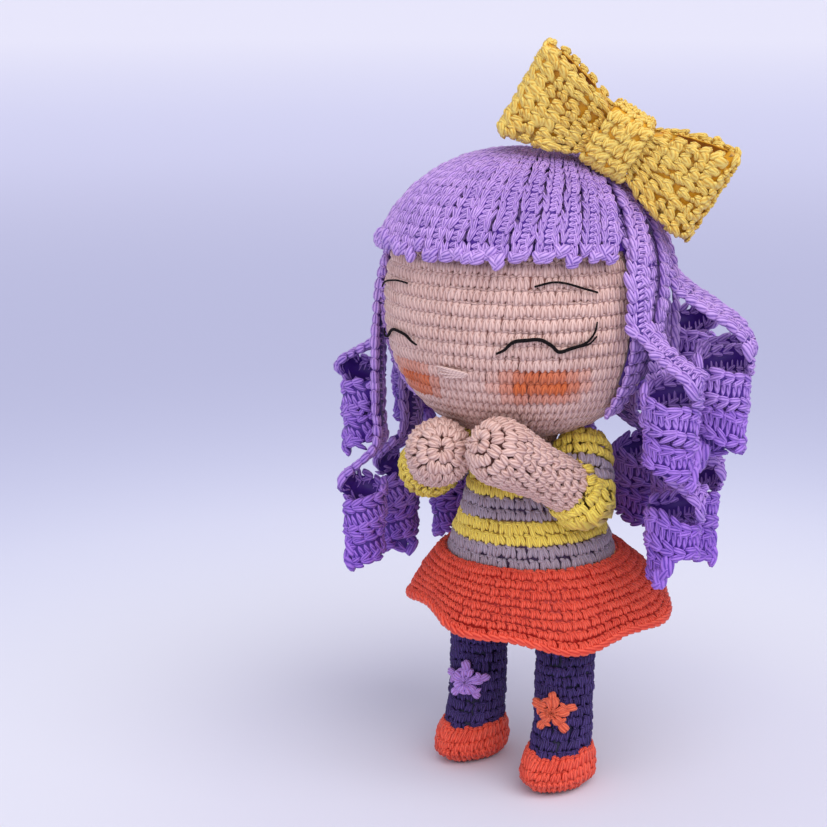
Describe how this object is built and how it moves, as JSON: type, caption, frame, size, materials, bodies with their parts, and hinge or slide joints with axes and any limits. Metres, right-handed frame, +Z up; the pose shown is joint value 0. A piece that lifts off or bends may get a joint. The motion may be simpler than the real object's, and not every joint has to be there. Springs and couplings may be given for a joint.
{
  "type": "crocheted doll",
  "caption": "Standing crocheted doll with corkscrew hair, a fringe and a hair bow, in a striped top, a flared skirt, leggings and shoes, with its hands folded under the chin",
  "frame": {"origin": "on the floor, under the middle of the doll's bounding box", "axes": "+Z up, the doll looks along -Y, and its left hand is on the +X side"},
  "size_m": [0.1078, 0.09, 0.1827],
  "materials": {
    "skin": "matte crocheted yarn",
    "lilac": "matte crocheted yarn",
    "deep_lilac": "matte crocheted yarn",
    "butter": "matte crocheted yarn",
    "shirt_yellow": "matte crocheted yarn",
    "coral": "matte crocheted yarn",
    "navy": "matte crocheted yarn",
    "violet_star": "matte crocheted yarn",
    "black_thread": "embroidery thread",
    "pale_pink": "embroidery thread",
    "filling": "loose polyester fibre fill"
  },
  "bodies": {
    "body": {"torso": "shirt_yellow", "torso_stuffing": "filling", "skirt": "coral"},
    "neck_body": {"neck": "skin"},
    "head_body": {"head": "skin", "head_stuffing": "filling", "wig_cap": "deep_lilac", "eye_left": "black_thread", "eye_right": "black_thread", "brow_left": "black_thread", "brow_right": "black_thread", "nose": "pale_pink", "bow_band": "butter", "bow_knot": "butter", "fringe_01": "lilac", "fringe_02": "lilac", "fringe_03": "lilac", "fringe_04": "lilac", "fringe_05": "lilac", "fringe_06": "lilac", "fringe_07": "lilac", "fringe_08": "lilac", "fringe_09": "lilac", "fringe_10": "lilac", "fringe_11": "lilac", "fringe_12": "lilac", "fringe_13": "lilac", "fringe_14": "lilac", "fringe_15": "lilac", "lock_01": "lilac", "lock_02": "lilac", "lock_03": "lilac", "lock_04": "lilac", "lock_05": "lilac", "lock_06": "lilac", "lock_07": "lilac", "lock_08": "lilac", "lock_09": "lilac", "lock_10": "lilac", "lock_11": "lilac", "lock_12": "lilac", "lock_13": "lilac", "lock_14": "lilac", "lock_15": "lilac", "lock_16": "lilac", "lock_17": "lilac", "lock_18": "lilac"},
    "leg_body_left": {"leg_left": "navy", "leg_stuffing_left": "filling", "shoe_left": "coral", "patch_left": "coral"},
    "arm_body_left": {"sleeve_left": "shirt_yellow", "forearm_left": "skin"},
    "leg_body_right": {"leg_right": "navy", "leg_stuffing_right": "filling", "shoe_right": "coral", "patch_right": "violet_star"},
    "arm_body_right": {"sleeve_right": "shirt_yellow", "forearm_right": "skin"}
  },
  "joints": [
    {"name": "neck_turn", "type": "hinge", "parent": "body", "child": "neck_body", "pos_m": [-0.0024, -0.0097, 0.084], "axis": [0, 0, 1], "range_deg": [-10, 10], "stiffness_Nm_per_rad": 0.06},
    {"name": "head_nod", "type": "hinge", "parent": "neck_body", "child": "head_body", "pos_m": [-0.0024, -0.0097, 0.0893], "axis": [1, 0, 0], "range_deg": [-4, 2], "stiffness_Nm_per_rad": 0.06},
    {"name": "hip_left", "type": "hinge", "parent": "body", "child": "leg_body_left", "pos_m": [0.0106, -0.0092, 0.0404], "axis": [1, 0, 0], "range_deg": [-20, 20]},
    {"name": "shoulder_left", "type": "hinge", "parent": "body", "child": "arm_body_left", "pos_m": [0.0186, -0.0097, 0.0836], "axis": [1, 0, 0], "range_deg": [-2, 10]},
    {"name": "hip_right", "type": "hinge", "parent": "body", "child": "leg_body_right", "pos_m": [-0.0154, -0.0062, 0.0404], "axis": [1, 0, 0], "range_deg": [-20, 20]},
    {"name": "shoulder_right", "type": "hinge", "parent": "body", "child": "arm_body_right", "pos_m": [-0.0234, -0.0097, 0.0836], "axis": [1, 0, 0], "range_deg": [-2, 10]}
  ]
}
